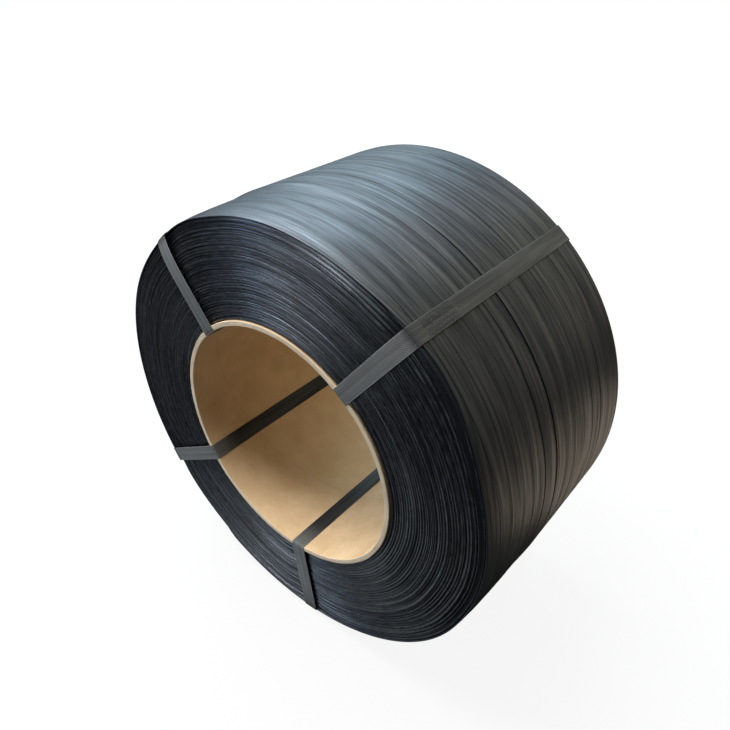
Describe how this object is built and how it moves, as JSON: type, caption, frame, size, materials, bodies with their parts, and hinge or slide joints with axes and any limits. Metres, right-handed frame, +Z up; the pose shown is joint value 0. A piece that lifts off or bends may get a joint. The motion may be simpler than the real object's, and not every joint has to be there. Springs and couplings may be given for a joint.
{
  "type": "coil of plastic strapping",
  "caption": "Flat black plastic strapping wound in layers on a cardboard core tube, lying on its side and held by tie straps through the bore.",
  "frame": {"origin": "centre of the core's bore, half way along it", "axes": "the coil lies on its side: Y is the axis of the coil, -Y is the front end, +Z is up, +X is right seen from the front"},
  "size_m": [0.362, 0.191, 0.362],
  "materials": {
    "cardboard_core": "plain kraft board, cut ends paler",
    "black_strapping": "satin black polypropylene strapping, finely embossed",
    "tie_strapping": "satin dark grey polypropylene strapping"
  },
  "bodies": {
    "root": {"core_tube": "cardboard_core", "wound_strapping": "black_strapping", "tie_strap_upper_right": "tie_strapping", "tie_strap_bottom": "tie_strapping", "tie_strap_left": "tie_strapping", "tie_strap_upper_left": "tie_strapping"}
  },
  "joints": []
}
